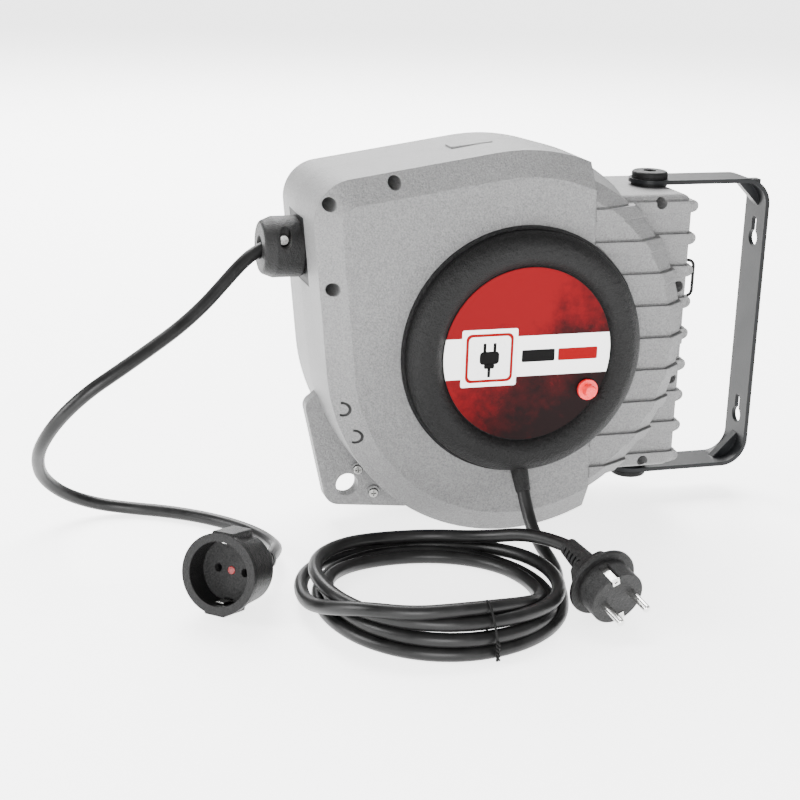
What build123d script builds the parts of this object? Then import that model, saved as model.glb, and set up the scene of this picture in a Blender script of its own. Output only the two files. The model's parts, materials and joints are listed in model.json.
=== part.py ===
from build123d import *
from math import cos, pi, radians, sin, tan
import os

# Wall-mounted cable reel: a spring-driven drum of mains lead in a two-part casing,
# hung on a swivelling steel bracket, with a feed cord that ends in an earthed plug.
#
# Part frame, in mm: the origin is on the wall, midway between the two wall screws.
# +X points into the wall, +Z is up, and the reel's round front faces -Y.
# Most places are given from the hub, where the drum's axis meets the label:
# x to the right, depth into the reel, z up.

os.makedirs("parts", exist_ok=True)

HUB = Vector(-208, -75, -3)

# Round housing
HOUSING_R = 135.5
TOP_TANGENT = 98.8          # degrees, where the sloping top leaves the circle
SIDE_TANGENT = 186.0        # degrees, where the cable side leaves the circle
CORNER_R = 28.0
PLATEAU = 13.0              # depth of the flat front
EDGE = 23.5                 # depth where the front chamfer ends
CHAMFER_W = 16.5
PARTING = 75.0              # depth where the two shells meet
REAR_EDGE = 121.0
BACK = 132.0
DRAFT = 2.5
REAR_CHAMFER = 12.0
WALL = 4.5

# Square block at the bracket side, with its ribs
BLOCK_LEFT = 20.0
BLOCK_RIGHT = 134.5
BLOCK_TOP = 101.6
BLOCK_BOTTOM = -102.2
BLOCK_FRONT = 33.0
BLOCK_BACK = 118.0
BLOCK_ROUND = 6.0
CORNER_ROUND = 10.0
RIBBED_CREASE = -22.5        # on the ribbed side the front chamfer's two edges lie further in
RIBBED_EDGE = -9.5
STEP_TOP_X = 47.0
STEP_BOTTOM_X = 59.0
FIELD_DROP = 1.1
GROOVE_DROP = 1.9
RIB_RISE = 0.9
RIB_COUNT = 9
RIB_PITCH = 23.2
RIB_SHIFT = -0.8
RIB_H = 8.0
GROOVE_H = 1.1
RIB_BEAD_R = 4.2

# Screws and bosses, at (x, z)
CORNER_SCREWS = [(-136.3, 102.8), (-92.7, 116.2), (-133.1, 46.1)]
BLOCK_SCREWS = [(107.6, 95.0), (126.0, 34.2), (126.2, -33.8), (107.6, -95.4)]
EAR_SCREWS = [(-98.3, -99.2), (-86.2, -117.9)]
EAR_SCREW_HEAD_R = 3.4
BOSS_R = 8.0
BORE_R = 4.6
SCREW_R = 2.0
SCREW_HEAD_R = 4.0
SCREW_SEAT = 62.0
SCREW_TIP = 96.0

# Hub
OPENING_R = 56.0
HUB_SEAT_R = 87.4
BASE_RING_R = 86.7
COVER_R = 84.5
COVER_CREST_R = 73.0
COVER_CREST = -5.0
LABEL_R = 60.5
BUTTON_X = 45.0
BUTTON_Z = -27.0

# Drum and what turns with it
AXLE_R = 8.0
CORE_R = 32.0
FLANGE_R = 100.0
FLANGE_T = 3.0
DRUM_FRONT = 28.0
DRUM_BACK = 102.0
RUNNING_GAP = 0.05
RATCHET_TIP_R = 96.0
RATCHET_ROOT_R = 90.0
RATCHET_TEETH = 24
CASSETTE_R = 92.0
CASSETTE_BACK = 124.0
SPRING_T = 0.6
SPRING_TURNS = 10

# Cord and cable outlet
CORD_R = 4.5
LEAD_Z = 64.0
OUTLET_X = -139.0
OUTLET_HALF = 23.5            # half the height of the outlet's plate
OUTLET_DEEP = 22.0            # half its width, along the reel's depth
PLATE_GAP = 0.2
ROLLER_X = -110.0
ROLLER_R = 8.0
STOPPER_R = 21.0
STOPPER_LEFT = -170.0
LEAD_START = -166.0             # the cord starts to bend inside the stopper's flared mouth

# Bracket and pivot
PIVOT_X = 117.0
WEB_X = 208.0
STRAP_W = 30.0
STRAP_T = 3.0
ARM_LENGTH = 150.0
BEND_R = 20.0
SEATS = {1: 100.5, -1: -109.5}   # height of the casing's upper and lower pivot seats
ARM_GAP = 2.2
SHOULDER_R = 6.0
POST_END = 72.0                 # how near the hub's height the pivot inserts reach
PIVOT_INSERT_R = 5.5
PIVOT_THREAD_R = 4.0
BOLT_HEAD_R = 13.0
KEYHOLE_SCREW_Z = 69.0          # above and below the part's origin
KEYHOLE_R = 6.0
KEYHOLE_SLOT_R = 3.0
KEYHOLE_DROP = 13.0

# Hanging ear
EAR_HOLE = (-105.6, -110.5)
EAR_HOLE_R = 8.2
EAR_T = 10.0

# The surface that the cords lie on
GROUND = -136.0


def hub(x, depth, z):
    """Point given from the hub."""
    return HUB + Vector(x, depth, z)


def facing(depth, x=0.0, z=0.0):
    """Plane parallel to the front, looking out of the reel; its y is up."""
    return Plane(origin=hub(x, depth, z), x_dir=(1, 0, 0), z_dir=(0, -1, 0))


def level(z, x=0.0, depth=0.0):
    """Horizontal plane, facing up; its x runs to the right and its y runs into the reel."""
    return Plane(origin=hub(x, depth, z), x_dir=(1, 0, 0), z_dir=(0, 0, 1))


def polar(radius, angle):
    """(x, z) at an angle in degrees round the hub."""
    return (radius * cos(radians(angle)), radius * sin(radians(angle)))


def save(piece, name):
    """Label a finished piece and write it to its own file."""
    piece.label = name
    export_step(piece, f"parts/{name}.step")


def ring(outer, inner, front, back, x=0.0, z=0.0):
    """Disc or ring between two depths, with its axis along the depth."""
    with BuildPart() as piece:
        with BuildSketch(facing(back, x, z)):
            Circle(outer)
            if inner > 0:
                Circle(inner, mode=Mode.SUBTRACT)
        extrude(amount=back - front)
    return piece.part


def rod(start, end, radius, bore=0.0):
    """Round bar or tube from one point to another."""
    along = Vector(end) - Vector(start)
    with BuildPart() as piece:
        with BuildSketch(Plane(origin=start, z_dir=along)):
            Circle(radius)
            if bore > 0:
                Circle(bore, mode=Mode.SUBTRACT)
        extrude(amount=along.length)
    return piece.part


def cone(start, end, radius, end_radius, bore=0.0):
    """Tapered round piece from one point to another, with a straight bore."""
    along = (Vector(end) - Vector(start)).normalized()
    with BuildPart() as piece:
        with BuildSketch(Plane(origin=start, z_dir=along)):
            Circle(radius)
        with BuildSketch(Plane(origin=end, z_dir=along)):
            Circle(end_radius)
        loft(ruled=True)
        if bore > 0:
            with BuildSketch(Plane(origin=start, z_dir=along)):
                Circle(bore)
            extrude(amount=(Vector(end) - Vector(start)).length, mode=Mode.SUBTRACT)
    return piece.part


def slab(x_range, depth_range, z_range):
    """Rectangular block between limits given from the hub."""
    with BuildPart() as piece:
        with BuildSketch(facing(depth_range[1], sum(x_range) / 2, sum(z_range) / 2)):
            Rectangle(x_range[1] - x_range[0], z_range[1] - z_range[0])
        extrude(amount=depth_range[1] - depth_range[0])
    return piece.part


def joined(*pieces):
    """One part made of several pieces."""
    with BuildPart() as whole:
        for piece in pieces:
            add(piece)
    return whole.part


def cut(piece, *tools):
    """A piece with tools cut from it."""
    with BuildPart() as rest:
        add(piece)
        for tool in tools:
            add(tool, mode=Mode.SUBTRACT)
    return rest.part


def common(piece, tool):
    """What two pieces share."""
    with BuildPart() as shared:
        add(piece)
        add(tool, mode=Mode.INTERSECT)
    return shared.part


def rim_at(piece, point, way):
    """The round edge of a piece that lies furthest along a direction."""
    return piece.edges().filter_by(GeomType.CIRCLE).sort_by(Axis(tuple(point), tuple(way)))[-1]


def route_radii(points):
    """The largest arc that each corner's two runs allow."""
    radii = []
    for before, here, after in zip(points, points[1:], points[2:]):
        arriving = here - before
        leaving = after - here
        half_turn = radians(arriving.get_angle(leaving)) / 2
        radii.append(0.45 * min(arriving.length, leaving.length) / tan(half_turn))
    return radii


def cord_along(name, points):
    """Plain cord along a route of straight runs and tangent arcs."""
    radii = route_radii(points)
    with BuildPart() as cord:
        with BuildLine() as path:
            FilletPolyline(*points, radius=radii)
        with BuildSketch(Plane(origin=points[0], z_dir=points[1] - points[0])):
            Circle(CORD_R)
        sweep()
    length = sum(edge.length for edge in path.line.edges())
    expected = pi * CORD_R ** 2 * length
    print(name, "length", round(length, 1), "radii", [round(radius) for radius in radii],
          "volume ratio", round(cord.part.volume / expected, 4))
    return cord.part


# ---------------------------------------------------------------- casing shape

def outline(depth, grow):
    """Outline of the round housing at a depth, moved out by grow."""
    radius = HOUSING_R + grow
    spread = radians(SIDE_TANGENT - TOP_TANGENT) / 2
    corner = polar(radius / cos(spread), (SIDE_TANGENT + TOP_TANGENT) / 2)
    with BuildSketch(facing(depth)) as sketch:
        with BuildLine():
            FilletPolyline(polar(radius, TOP_TANGENT), corner, polar(radius, SIDE_TANGENT),
                           radius=CORNER_R + grow)
            CenterArc((0, 0), radius, SIDE_TANGENT, 360 - SIDE_TANGENT + TOP_TANGENT)
        make_face()
    return sketch.sketch


def lofted(*sections):
    """Solid with straight walls from each section to the next."""
    with BuildPart() as solid:
        for lower, upper in zip(sections, sections[1:]):
            loft([lower.face(), upper.face()], ruled=True)
    return solid.part


def casing(grow, ribbed=False):
    """Whole outside of the casing, every face moved out by grow."""
    crease = RIBBED_CREASE if ribbed else -CHAMFER_W
    edge = RIBBED_EDGE if ribbed else 0
    crease_shift = 0.29 * grow      # the front chamfer's inner edge moves out by this much
    edge_shift = 0.55 * grow        # and its outer edge moves forward by this much
    housing = lofted(
        outline(PLATEAU - grow, crease_shift + crease),
        outline(EDGE - edge_shift, grow + edge),
        outline(PARTING, grow),
        outline(REAR_EDGE + edge_shift, grow - DRAFT),
        outline(BACK + grow, grow - REAR_CHAMFER),
    )
    block_x = (BLOCK_LEFT, BLOCK_RIGHT + grow)
    block_z = (BLOCK_BOTTOM - grow, BLOCK_TOP + grow)
    with BuildPart() as block:
        add(slab(block_x, (BLOCK_FRONT - grow, BLOCK_BACK + grow), block_z))
        upright = block.edges().filter_by(Axis.Y).group_by(Axis.X)[-1]
        fillet(upright, CORNER_ROUND + grow)
        rims = block.edges().group_by(Axis.Y)[0] + block.edges().group_by(Axis.Y)[-1]
        fillet(rims, BLOCK_ROUND + grow)
    return joined(housing, block.part)


def ribbed_side(shift=0.0):
    """Everything to the right of the step line, or of a line shifted to its left."""
    with BuildPart() as zone:
        with BuildSketch(facing(200)):
            with BuildLine():
                Polyline((STEP_TOP_X - shift, 150), (220, 150), (220, -150),
                         (STEP_BOTTOM_X - shift, -150), close=True)
            make_face()
        extrude(amount=250)
    return zone.part


rib_heights = [(i - (RIB_COUNT - 1) / 2) * RIB_PITCH + RIB_SHIFT for i in range(RIB_COUNT)]
rib_slabs = joined(*[slab((0, 200), (-50, 180), (z - RIB_H / 2, z + RIB_H / 2)) for z in rib_heights])
groove_slabs = joined(*[
    slab((0, 200), (-50, 180), (z + RIB_H / 2, z + RIB_H / 2 + GROOVE_H)) for z in rib_heights
])
side_zone = ribbed_side()
rib_beads = joined(*[ring(RIB_BEAD_R, 0, BLOCK_FRONT + 2, BLOCK_BACK - 2, BLOCK_RIGHT - 1.4, z)
                     for z in rib_heights])

plain_side = cut(casing(0), side_zone)
field = cut(common(casing(-FIELD_DROP, ribbed=True), side_zone), groove_slabs)
groove_floor = common(casing(-GROOVE_DROP, ribbed=True), side_zone)
ribs = common(common(casing(RIB_RISE, ribbed=True), side_zone), rib_slabs)
hub_seat = ring(HUB_SEAT_R, 0, PLATEAU, PLATEAU + WALL)
outside = cut(joined(plain_side, groove_floor, field, ribs, rib_beads, hub_seat),
              ring(HUB_SEAT_R, 0, 0, PLATEAU))
cavity_zone = ribbed_side(WALL)
cavity = joined(cut(casing(-WALL), cavity_zone), common(casing(-WALL, ribbed=True), cavity_zone))

# ------------------------------------------------- what both shells have inside

def screw_bosses():
    """Solid posts round the casing screws, and round the pivot inserts."""
    posts = [ring(BOSS_R, 0, PLATEAU, BACK, x, z) for x, z in CORNER_SCREWS]
    posts += [ring(BOSS_R - 1, 0, BLOCK_FRONT + 1, BLOCK_BACK - 1, x, z) for x, z in BLOCK_SCREWS]
    for way, seat in SEATS.items():
        heights = sorted((seat, way * (POST_END - 2)))
        posts.append(slab((PIVOT_X - 14, PIVOT_X + 13), (PARTING - 15, PARTING + 15), heights))
    return joined(*posts)


def ear():
    """Hanging ear at the lower cable-side corner, half in each shell."""
    with BuildPart() as piece:
        with BuildSketch(facing(PARTING + EAR_T / 2)) as shape:
            with BuildLine():
                FilletPolyline((-100, -20), (-138, -48), (-120.5, -124.5), (-58, -131), (-40, -90),
                               radius=[8, 12, 6], close=False)
                Line((-40, -90), (-100, -20))
            make_face()
        extrude(amount=EAR_T)
    return piece.part


def spacer_boss():
    """Round boss that carries the lower pivot seat."""
    seat = SEATS[-1]
    return rod(hub(PIVOT_X, PARTING, BLOCK_BOTTOM + 5), hub(PIVOT_X, PARTING, seat), BOLT_HEAD_R)


screw_bores = joined(
    *[ring(BORE_R, 0, 0, SCREW_SEAT, x, z) for x, z in CORNER_SCREWS],
    *[ring(SCREW_HEAD_R, 0, 0, SCREW_SEAT, x, z) for x, z in BLOCK_SCREWS],
    *[ring(SCREW_R, 0, SCREW_SEAT - 1, SCREW_TIP, x, z) for x, z in CORNER_SCREWS + BLOCK_SCREWS],
    *[ring(SCREW_R, 0, PARTING - 20, PARTING + 20, x, z) for x, z in EAR_SCREWS],
)
insert_pockets = joined(*[
    rod(hub(PIVOT_X, PARTING, way * POST_END), hub(PIVOT_X, PARTING, seat + 5 * way), PIVOT_INSERT_R)
    for way, seat in SEATS.items()
])
outlet_pocket = slab((-170, OUTLET_X), (PARTING - OUTLET_DEEP, PARTING + OUTLET_DEEP),
                     (LEAD_Z - OUTLET_HALF, LEAD_Z + OUTLET_HALF))
outlet_hole = slab((-150, -100), (PARTING - 10, PARTING + 10), (LEAD_Z - 10, LEAD_Z + 10))
ear_hole = ring(EAR_HOLE_R, 0, PARTING - 20, PARTING + 20, *EAR_HOLE)

solid_inside = common(screw_bosses(), outside)
hollow = cut(joined(outside, ear(), spacer_boss()), cavity)
both_shells = cut(joined(hollow, solid_inside), screw_bores, insert_pockets, outlet_pocket,
                  outlet_hole, ear_hole)

# ------------------------------------------------------------------ front shell

def half_ring_mark(x, z, opening):
    """Short raised or sunk arc, open on one side."""
    with BuildPart() as mark:
        with BuildSketch(facing(PARTING, x, z)):
            with BuildLine():
                CenterArc((0, 0), 4.6, opening, 210)
            trace(line_width=1.6)
        extrude(amount=PARTING)
    return mark.part


sunk_marks = cut(joined(half_ring_mark(-124.4, -37.3, -105), half_ring_mark(-115.5, -57.2, -105)),
                 casing(-1.2))
ear_marks = joined(*[
    common(half_ring_mark(x, z, -60), slab((-200, 0), (PARTING - 7, PARTING), (-200, 0)))
    for x, z in EAR_SCREWS
])
with BuildPart() as snap_tab:
    with BuildSketch(facing(PARTING - 1.5, -25, 132.4)):
        Rectangle(30, 3.4, rotation=6.8)
    extrude(amount=13)
    chamfer(snap_tab.edges().group_by(Axis.Y)[0].filter_by(Axis.Z, reverse=True), 0.8)

pawl_angle = 38.0
pawl_x, pawl_z = polar(109.0, pawl_angle)
with BuildPart() as front_shell:
    add(both_shells)
    split(bisect_by=facing(PARTING), keep=Keep.TOP)
    add(snap_tab.part)
    add(ear_marks)
    add(common(ring(7, 0, PLATEAU + 2, 21.5, pawl_x, pawl_z), outside))
    add(ring(OPENING_R, 0, 0, 25), mode=Mode.SUBTRACT)
    add(sunk_marks, mode=Mode.SUBTRACT)
    add(ring(2.5, 0, 17, 30, pawl_x, pawl_z), mode=Mode.SUBTRACT)
save(front_shell.part, "front_shell")

# ------------------------------------------------------------------- rear shell
with BuildPart() as rear_shell:
    add(both_shells)
    split(bisect_by=facing(PARTING), keep=Keep.BOTTOM)
    add(ring(20, 0, 126, BACK))
    add(ring(4, 0, 120, BACK + 20), mode=Mode.SUBTRACT)
    with BuildSketch(facing(BACK + 1)):
        with PolarLocations(96, 24, start_angle=7.5):
            SlotOverall(24, 5)
    extrude(amount=3, mode=Mode.SUBTRACT)
    with BuildSketch(facing(BACK + 1.6)):
        with PolarLocations(50, 6):
            SlotOverall(34, 6)
    extrude(amount=2.6)
save(rear_shell.part, "rear_shell")

# ---------------------------------------------------------------- casing screws

def machine_screw(x, z, head_front, tip, head_r=SCREW_HEAD_R - 0.3):
    """Pan-head screw along the depth, with a cross recess."""
    with BuildPart() as screw:
        with BuildSketch(facing(head_front + 3)):
            with Locations((x, z)):
                Circle(head_r)
        extrude(amount=3)
        fillet(screw.edges().group_by(Axis.Y)[0], 0.8)
        with BuildSketch(facing(tip)):
            with Locations((x, z)):
                Circle(SCREW_R)
        extrude(amount=tip - head_front - 3)
        with BuildSketch(facing(head_front + 1.8)):
            with Locations((x, z)):
                Rectangle(4.2, 0.9)
                Rectangle(0.9, 4.2)
        extrude(amount=3, mode=Mode.SUBTRACT)
    return screw.part


casing_screws = [machine_screw(x, z, SCREW_SEAT - 3, SCREW_TIP) for x, z in CORNER_SCREWS + BLOCK_SCREWS]
save(Compound(children=casing_screws), "casing_screws")
ear_screws = [machine_screw(x, z, PARTING - EAR_T / 2 - 3, PARTING + 12, EAR_SCREW_HEAD_R)
              for x, z in EAR_SCREWS]
save(Compound(children=ear_screws), "ear_screws")

# -------------------------------------------------------------- feed cord gland
GLAND_WAY = Vector(0.05, -0.5, -0.865).normalized()
GLAND_ROOT = hub(-0.15, 6.5, -81.4)
GLAND_END = GLAND_ROOT + GLAND_WAY * 19
gland_hole = rod(GLAND_ROOT - GLAND_WAY * 6, GLAND_END, 6.6)
save(cone(GLAND_ROOT, GLAND_END, 6.3, 5.2, CORD_R + 0.4), "feed_gland")

# --------------------------------------------------------------------- hub parts
save(cut(ring(BASE_RING_R, 66, PLATEAU - 2.5, PLATEAU), gland_hole), "hub_base_ring")

with BuildPart() as hub_cover:
    with BuildSketch(level(0)):
        with BuildLine():
            Line((0, 1), (61.2, 1))
            ThreePointArc((61.2, 1), (65.2, -3.3), (COVER_CREST_R, COVER_CREST))
            ThreePointArc((COVER_CREST_R, COVER_CREST), (81.5, -1.6), (COVER_R, 7))
            Polyline((COVER_R, 7), (COVER_R, 10.5), (82, 10.5), (82, 7))
            ThreePointArc((82, 7), (79.6, 0.4), (COVER_CREST_R, COVER_CREST + 2.6))
            ThreePointArc((COVER_CREST_R, COVER_CREST + 2.6), (67, -1.2), (63.6, 3.5))
            Polyline((63.6, 3.5), (0, 3.5), (0, 1))
        make_face()
    revolve(axis=Axis(tuple(HUB), (0, 1, 0)))
    add(ring(6.2, 0, -10, 20, BUTTON_X, BUTTON_Z), mode=Mode.SUBTRACT)
    add(gland_hole, mode=Mode.SUBTRACT)
save(hub_cover.part, "hub_cover")

label = cut(ring(LABEL_R, 0, 0, 1), ring(6.2, 0, -10, 20, BUTTON_X, BUTTON_Z))
save(label, "label_disc")

collar = joined(ring(7.2, 4.3, -2.6, 0, BUTTON_X, BUTTON_Z), ring(6.2, 4.3, 0, 5.4, BUTTON_X, BUTTON_Z))
save(collar, "button_collar")
with BuildPart() as button:
    add(ring(4.25, 0, -8.6, 2.8, BUTTON_X, BUTTON_Z))
    fillet(button.edges().group_by(Axis.Y)[0], 1.0)
save(button.part, "reset_button")
cutout_body = joined(ring(7.8, 0, 5.5, 11.3, BUTTON_X, BUTTON_Z),
                     slab((BUTTON_X - 12, BUTTON_X + 6), (6.5, 9.0), (BUTTON_Z - 2, BUTTON_Z + 2)))
save(cutout_body, "thermal_cutout")

# --------------------------------------------- brush carrier, slip rings, wiring
carrier = joined(ring(62, 50, 11.4, 13), ring(55.7, AXLE_R, 13, 16.5), ring(12, AXLE_R, 16, 19.5))
save(carrier, "brush_carrier")

with BuildPart() as terminals:
    add(slab((-14, 14), (5, 13), (-42, -28)))
    with BuildSketch(facing(5, 0, -35)):
        with GridLocations(9, 0, 3, 1):
            Circle(2.6)
    extrude(amount=-5, mode=Mode.SUBTRACT)
save(terminals.part, "terminal_block")

SLIP_RADII = (20.0, 28.0, 36.0)
fingers = []
for slip_r in SLIP_RADII:
    with BuildPart() as finger:
        with BuildSketch(level(-slip_r - 2)):
            with BuildLine():
                Polyline((-12, 16.5), (-2, 16.5), (9, 20.6), (13, 19.4), (13, 19.8), (9, 21.0),
                         (-2.2, 16.9), (-12, 16.9), close=True)
            make_face()
        extrude(amount=4)
    fingers.append(finger.part)
save(Compound(children=fingers), "contact_fingers")
slip_rings = [ring(slip_r + 2, slip_r - 2, 21.2, 22) for slip_r in SLIP_RADII]
save(Compound(children=slip_rings), "slip_rings")
save(ring(42, AXLE_R + 0.6, 22, DRUM_FRONT), "slip_ring_disc")

# -------------------------------------------------------------------------- drum
AXLE_FRONT = 13.5
AXLE_BACK = 126.0
axle = cut(ring(AXLE_R, 0, AXLE_FRONT, AXLE_BACK), ring(4, 0, 98, AXLE_BACK))
save(axle, "axle")
with BuildPart() as axle_bolt:
    add(ring(8, 0, BACK, BACK + 4))
    add(ring(4, 0, 98, BACK))
    fillet(axle_bolt.edges().group_by(Axis.Y)[-1], 1.2)
    with BuildSketch(facing(BACK + 4)):
        RegularPolygon(3.5, 6)
    extrude(amount=2.5, mode=Mode.SUBTRACT)
save(axle_bolt.part, "axle_bolt")

BUSH_R = 9.5
core = joined(
    ring(CORE_R, CORE_R - FLANGE_T, DRUM_FRONT, DRUM_BACK),
    ring(CORE_R - FLANGE_T, BUSH_R, DRUM_FRONT, DRUM_FRONT + 4),
    ring(CORE_R - FLANGE_T, BUSH_R, DRUM_BACK - 4, DRUM_BACK),
)
save(core, "drum_core")
bushes = [ring(BUSH_R, AXLE_R + RUNNING_GAP, front, front + 12) for front in (DRUM_FRONT, DRUM_BACK - 12)]
save(Compound(children=bushes), "drum_bushes")


def drum_flange(front):
    """Flange with six windows."""
    with BuildPart() as flange:
        add(ring(FLANGE_R, CORE_R, front, front + FLANGE_T))
        with BuildSketch(facing(front)):
            with PolarLocations(52, 6):
                SlotOverall(26, 14, rotation=90)
        extrude(amount=-FLANGE_T, mode=Mode.SUBTRACT)
    return flange.part


save(drum_flange(DRUM_FRONT), "drum_front_flange")
save(drum_flange(DRUM_BACK - FLANGE_T), "drum_rear_flange")

WOUND_TOP = 68.5
WOUND_TURNS = 7
with BuildPart() as wound_cable:
    with BuildSketch(level(0)):
        with BuildLine():
            start, end = DRUM_FRONT + FLANGE_T, DRUM_BACK - FLANGE_T
            pitch = (end - start) / WOUND_TURNS
            Polyline((WOUND_TOP - CORD_R, start), (CORE_R, start), (CORE_R, end), (WOUND_TOP - CORD_R, end))
            for turn in range(WOUND_TURNS):
                low = start + turn * pitch
                ThreePointArc((WOUND_TOP - CORD_R, low), (WOUND_TOP, low + pitch / 2),
                              (WOUND_TOP - CORD_R, low + pitch))
        make_face()
    revolve(axis=Axis(tuple(HUB), (0, 1, 0)))
save(wound_cable.part, "wound_cable")

with BuildPart() as ratchet:
    with BuildSketch(facing(DRUM_FRONT)):
        with BuildLine():
            teeth = []
            for tooth in range(RATCHET_TEETH):
                angle = tooth * 360 / RATCHET_TEETH
                teeth += [polar(RATCHET_ROOT_R, angle), polar(RATCHET_TIP_R, angle + 1.0)]
            Polyline(*teeth, close=True)
        make_face()
        Circle(72, mode=Mode.SUBTRACT)
    extrude(amount=5.2)
save(ratchet.part, "ratchet_ring")

cassette = joined(ring(CASSETTE_R, 12, DRUM_BACK, DRUM_BACK + 2.5),
                  ring(CASSETTE_R, CASSETTE_R - FLANGE_T, DRUM_BACK, CASSETTE_BACK))
save(cassette, "spring_cassette")
save(ring(CASSETTE_R, 16, CASSETTE_BACK, CASSETTE_BACK + 1.4), "cassette_cover")

with BuildPart() as power_spring:
    with BuildSketch(facing(CASSETTE_BACK - 2)):
        with BuildLine():
            step, inner_r = 3.6, 14.0
            half_turns = 2 * SPRING_TURNS
            for half in range(half_turns):
                center = (0, 0) if half % 2 == 0 else (step, 0)
                radius = inner_r + half * step
                CenterArc(center, radius + SPRING_T / 2, 180 * (half % 2), 180)
                CenterArc(center, radius - SPRING_T / 2, 180 * (half % 2), 180)
            Line((inner_r - SPRING_T / 2, 0), (inner_r + SPRING_T / 2, 0))
            outer_end = inner_r + (half_turns - 1) * step + step
            Line((outer_end - SPRING_T / 2, 0), (outer_end + SPRING_T / 2, 0))
        make_face()
    extrude(amount=CASSETTE_BACK - DRUM_BACK - 5.5)
save(power_spring.part, "power_spring")

# -------------------------------------------------------------- ratchet pawl
PAWL_PLANE_X = Vector(-sin(radians(pawl_angle)), 0, cos(radians(pawl_angle)))


def pawl_plane(depth):
    """Plane at the pawl's pin; its x runs along the ratchet ring, its y points in to the hub."""
    return Plane(origin=hub(pawl_x, depth, pawl_z), x_dir=PAWL_PLANE_X, z_dir=(0, -1, 0))


with BuildPart() as pawl:
    with BuildSketch(pawl_plane(27)):
        Circle(6)
        with BuildLine():
            Polyline((-3, -5), (10, -4), (22, 11), (22, 14), (14, 9), (-3, 5.5), close=True)
        make_face()
        Circle(2.56, mode=Mode.SUBTRACT)
    extrude(amount=4.2)
save(pawl.part, "pawl")
save(ring(2.5, 0, 17.5, 27.8, pawl_x, pawl_z), "pawl_pin")
with BuildPart() as pawl_spring:
    with BuildSketch(pawl_plane(27)):
        with BuildLine():
            Polyline((-9, -7), (4, -8.4), (24, -7.4), (24, -8), (4, -9), (-9, -7.6), close=True)
        make_face()
    extrude(amount=4.2)
    with BuildSketch(pawl_plane(27)):
        with Locations((-9, -7.3)):
            Circle(1.6)
    extrude(amount=6.5)
save(pawl_spring.part, "pawl_spring")

# ------------------------------------------------------------ cable outlet
ROLLER_OFFSET = ROLLER_R + CORD_R + 0.3
PLATE_DEEP = OUTLET_DEEP - PLATE_GAP
PLATE_HALF = OUTLET_HALF - PLATE_GAP
frame_shape = joined(
    common(casing(-PLATE_GAP), slab((-170, OUTLET_X), (PARTING - PLATE_DEEP, PARTING + PLATE_DEEP),
                                    (LEAD_Z - PLATE_HALF, LEAD_Z + PLATE_HALF))),
    rod(hub(OUTLET_X - 1, PARTING, LEAD_Z), hub(-123, PARTING, LEAD_Z), 9.5),
    cut(slab((-124, -96), (PARTING - 14, PARTING + 14), (LEAD_Z - 23.5, LEAD_Z + 23.5)),
        slab((-121.5, -98.5), (PARTING - 11.5, PARTING + 11.5), (LEAD_Z - 21.5, LEAD_Z + 21.5))),
)
roller_centres = [LEAD_Z + ROLLER_OFFSET, LEAD_Z - ROLLER_OFFSET]
outlet_frame = cut(
    frame_shape,
    rod(hub(OUTLET_X - 12, PARTING, LEAD_Z), hub(OUTLET_X - 2, PARTING, LEAD_Z), STOPPER_R + 0.3),
    rod(hub(-150, PARTING, LEAD_Z), hub(-90, PARTING, LEAD_Z), 6),
    *[ring(2.5, 0, PARTING - 20, PARTING + 20, ROLLER_X, z) for z in roller_centres],
)
save(outlet_frame, "outlet_frame")
save(Compound(children=[ring(2.5, 0, PARTING - 14, PARTING + 14, ROLLER_X, z) for z in roller_centres]),
     "roller_pins")
for name, z in zip(("upper_roller", "lower_roller"), roller_centres):
    save(ring(ROLLER_R, 2.56, PARTING - 11, PARTING + 11, ROLLER_X, z), name)

# --------------------------------------------------------------- cable stopper
STOPPER_RIGHT = OUTLET_X - 2.3
CLAMP_X = -156.0
CLAMP_OFFSET = 6.7
CLAMP_SLOT = (13.5, 7.6)         # length and width of the pockets over the clamp screws
CLAMP_RISE = 2.6                 # how far a pocket's middle lies outside its screw
mouth = cone(hub(STOPPER_LEFT + 8, PARTING, LEAD_Z), hub(STOPPER_LEFT - 0.1, PARTING, LEAD_Z), CORD_R, 8.2)
with BuildPart() as stopper:
    add(rod(hub(STOPPER_LEFT, PARTING, LEAD_Z), hub(STOPPER_RIGHT, PARTING, LEAD_Z), STOPPER_R))
    chamfer(stopper.edges().group_by(Axis.X)[0], 8, 3.2)
    fillet(stopper.edges().group_by(Axis.X)[0], 3)
    fillet(stopper.edges().group_by(Axis.X)[-1], 2.5)
    add(rod(hub(STOPPER_LEFT - 5, PARTING, LEAD_Z), hub(STOPPER_RIGHT + 5, PARTING, LEAD_Z), CORD_R),
        mode=Mode.SUBTRACT)
    add(mouth, mode=Mode.SUBTRACT)
    for way, depths in ((1, (40, 65)), (-1, (85, 110))):
        with BuildSketch(facing(depths[1], CLAMP_X, LEAD_Z + way * (CLAMP_OFFSET + CLAMP_RISE))):
            SlotOverall(*CLAMP_SLOT, rotation=90)
        extrude(amount=depths[1] - depths[0], mode=Mode.SUBTRACT)
        add(ring(1.8, 0, 60, 90, CLAMP_X, LEAD_Z + way * CLAMP_OFFSET), mode=Mode.SUBTRACT)
for name, side in (("stopper_front", Keep.TOP), ("stopper_rear", Keep.BOTTOM)):
    with BuildPart() as half:
        add(stopper.part)
        split(bisect_by=facing(PARTING), keep=side)
    save(half.part, name)


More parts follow.
